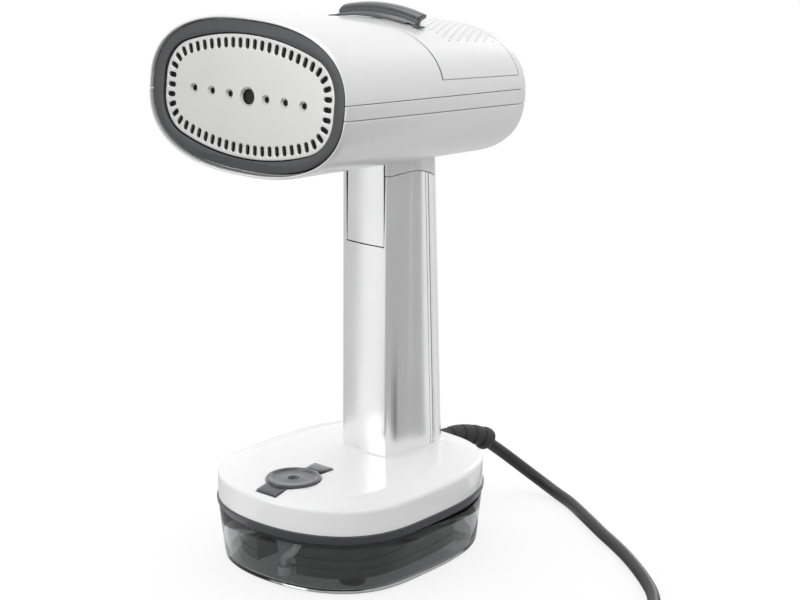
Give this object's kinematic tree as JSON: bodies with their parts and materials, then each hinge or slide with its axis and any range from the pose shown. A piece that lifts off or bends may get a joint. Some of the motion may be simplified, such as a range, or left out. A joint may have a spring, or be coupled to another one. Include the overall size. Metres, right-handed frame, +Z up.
{
  "type": "garment steamer",
  "caption": "Handheld garment steamer standing on a clear water tank, with a wide steam head, trigger handle, filler plug and coiled mains lead.",
  "frame": {"origin": "on the stand surface, under the middle of the steamer's own bounding box without its mains lead", "axes": "+Z up, -Y towards the steam plate, +X to the right of someone who faces the plate from behind the steamer"},
  "size_m": [0.3516, 0.2629, 0.3012],
  "materials": {
    "pearl_shell": "glossy pearl white moulding",
    "silver_shell": "satin silver lacquer on moulded shells",
    "graphite_plastic": "fine satin dark grey",
    "plate_metal": "smooth satin anodised",
    "cast_aluminium": "die cast",
    "screw_steel": "zinc plated",
    "brass_fitting": "turned",
    "black_rubber": "soft black",
    "cord_rubber": "smooth black sheath with a soft gloss",
    "smoke_clear": "clear smoke grey, polished",
    "dark_housing": "moulded dark grey",
    "clear_hose": "translucent silicone",
    "board_green": "printed board",
    "switch_black": "moulded black"
  },
  "bodies": {
    "root": {"head_upper_shell": "pearl_shell", "head_lower_shell": "pearl_shell", "left_trim": "pearl_shell", "right_trim": "pearl_shell", "rear_top_cover": "pearl_shell", "rear_cap": "pearl_shell", "bezel_ring": "graphite_plastic", "steam_plate": "plate_metal", "chamber_gasket": "black_rubber", "steam_chamber": "cast_aluminium", "chamber_lid": "cast_aluminium", "chamber_screws": "screw_steel", "heating_element": "screw_steel", "thermostat": "switch_black", "thermal_fuse": "switch_black", "steam_nozzle": "brass_fitting", "slide_switch": "switch_black", "handle_front_shell": "silver_shell", "handle_rear_shell": "silver_shell", "handle_screws": "screw_steel", "trigger_pin": "screw_steel", "trigger_spring": "screw_steel", "micro_switch": "switch_black", "water_tube": "clear_hose", "wire_loom": "black_rubber", "base_cover": "pearl_shell", "base_chassis": "graphite_plastic", "chassis_screws": "screw_steel", "pump_housing": "dark_housing", "pump": "switch_black", "pump_mounts": "black_rubber", "inlet_hose": "clear_hose", "control_board": "board_green", "cord_clamp": "dark_housing", "fill_neck": "dark_housing", "plug_anchor": "graphite_plastic", "suction_tube": "clear_hose", "suction_filter": "clear_hose", "tank_gasket": "black_rubber", "strain_relief": "cord_rubber", "cord": "cord_rubber", "cord_coil": "cord_rubber", "coil_tie": "black_rubber", "plug_body": "cord_rubber", "plug_pins": "screw_steel"},
    "trigger": {"trigger": "silver_shell"},
    "slider": {"slider_switch": "graphite_plastic"},
    "fill_plug": {"fill_plug": "graphite_plastic"},
    "tank": {"water_tank": "smoke_clear", "tank_feet": "black_rubber"}
  },
  "joints": [
    {"name": "trigger_hinge", "type": "hinge", "parent": "root", "child": "trigger", "pos_m": [0, 0.022, 0.173], "axis": [-1, 0, 0], "range_deg": [0, 4.2], "stiffness_Nm_per_rad": 2, "springref_deg": -3.44, "deforming": ["trigger_spring"]},
    {"name": "switch_slide", "type": "slide", "parent": "root", "child": "slider", "axis": [0, 0.9923, -0.1236], "range_m": [0, 0.005]},
    {"name": "fill_plug_hinge", "type": "hinge", "parent": "root", "child": "fill_plug", "pos_m": [0, -0.029, 0.0525], "axis": [-1, 0, 0], "range_deg": [0, 100]},
    {"name": "tank_slide", "type": "slide", "parent": "root", "child": "tank", "axis": [0, 0, -1], "range_m": [0, 0.06]}
  ]
}
